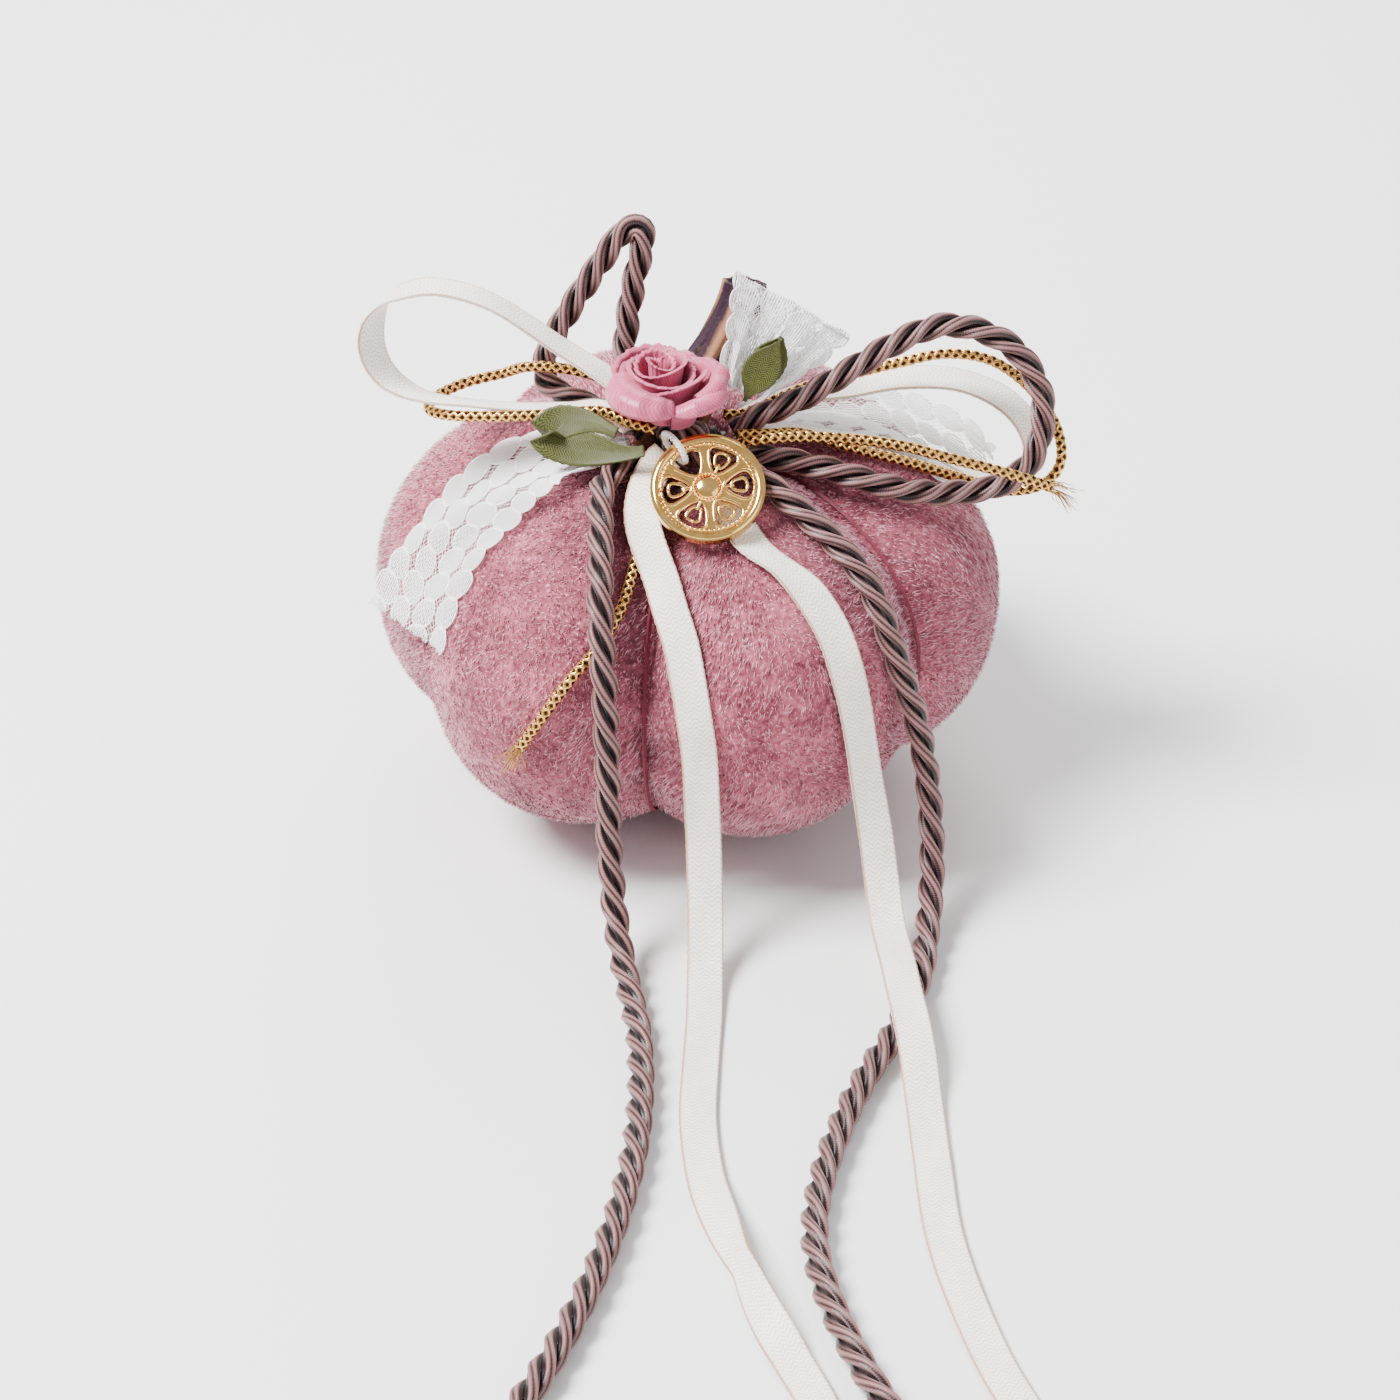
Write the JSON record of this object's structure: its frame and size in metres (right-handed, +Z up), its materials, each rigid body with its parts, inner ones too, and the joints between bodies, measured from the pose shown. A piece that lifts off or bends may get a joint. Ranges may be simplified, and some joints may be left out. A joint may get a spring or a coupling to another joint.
{
  "type": "ring bearer pillow",
  "caption": "Velvet pumpkin cushion with a stem, a bow of twisted cord, satin ribbon, gold cord and lace, a ribbon rose and a hanging openwork charm.",
  "frame": {"origin": "centre of the flat face that the pillow stands on", "axes": "+Z up through the stem, -Y is the front where the bow tails hang, +X is the right side seen from the front"},
  "size_m": [0.1214, 0.2703, 0.0976],
  "materials": {
    "dusty_pink_velvet": "short pile velvet with a pale sheen",
    "white_fibre": "loose polyester fibre",
    "pink_felt": "pressed felt",
    "pink_thread": "twisted sewing thread",
    "dried_stem": "dry ribbed stem",
    "mauve_twisted_cord": "glossy three-strand twist",
    "cream_satin": "double-faced satin ribbon",
    "gold_metallic_cord": "metallic braid",
    "white_lace": "knitted lace with scalloped rows",
    "pink_satin": "folded satin ribbon",
    "olive_satin": "satin ribbon",
    "polished_gold": "polished gold plate",
    "white_cotton": "matt cotton cord"
  },
  "bodies": {
    "root": {"velvet_cover": "dusty_pink_velvet", "fibre_filling": "white_fibre", "base_patch": "pink_felt", "neck_gather_thread": "pink_thread", "dried_stem": "dried_stem", "bow_knot": "mauve_twisted_cord", "rose_outer_wrap": "pink_satin", "rose_inner_wrap": "pink_satin", "rose_bud": "pink_satin", "tail_knot_left": "mauve_twisted_cord", "tail_knot_right": "mauve_twisted_cord", "leaf_loop_left": "olive_satin", "leaf_loop_right": "olive_satin", "lace_tail_left": "white_lace", "lace_loop_right": "white_lace", "lace_tail_right": "white_lace", "groove_thread_1": "pink_thread", "groove_thread_2": "pink_thread", "groove_thread_3": "pink_thread", "groove_thread_4": "pink_thread", "groove_thread_5": "pink_thread", "groove_thread_6": "pink_thread", "twisted_loop_left": "mauve_twisted_cord", "twisted_loop_right": "mauve_twisted_cord", "twisted_tail_left": "mauve_twisted_cord", "twisted_tail_right": "mauve_twisted_cord", "gold_loop_left": "gold_metallic_cord", "gold_loop_right": "gold_metallic_cord", "gold_tail_left": "gold_metallic_cord", "gold_tail_right": "gold_metallic_cord", "ribbon_loop_left": "cream_satin", "ribbon_loop_right": "cream_satin", "ribbon_tail_left": "cream_satin", "ribbon_tail_right": "cream_satin"},
    "charm_loop": {"charm_hanging_loop": "white_cotton"},
    "charm": {"openwork_charm": "polished_gold"}
  },
  "joints": [
    {"name": "charm_swing", "type": "hinge", "parent": "root", "child": "charm_loop", "pos_m": [-0.00304, -0.01696, 0.07188], "axis": [0, -0.6157, 0.788], "range_deg": [-20, 10]},
    {"name": "charm_lift", "type": "hinge", "parent": "charm_loop", "child": "charm", "pos_m": [-0.00122, -0.02135, 0.07327], "axis": [-0.8192, -0.452, -0.3531], "range_deg": [0, 40]}
  ]
}
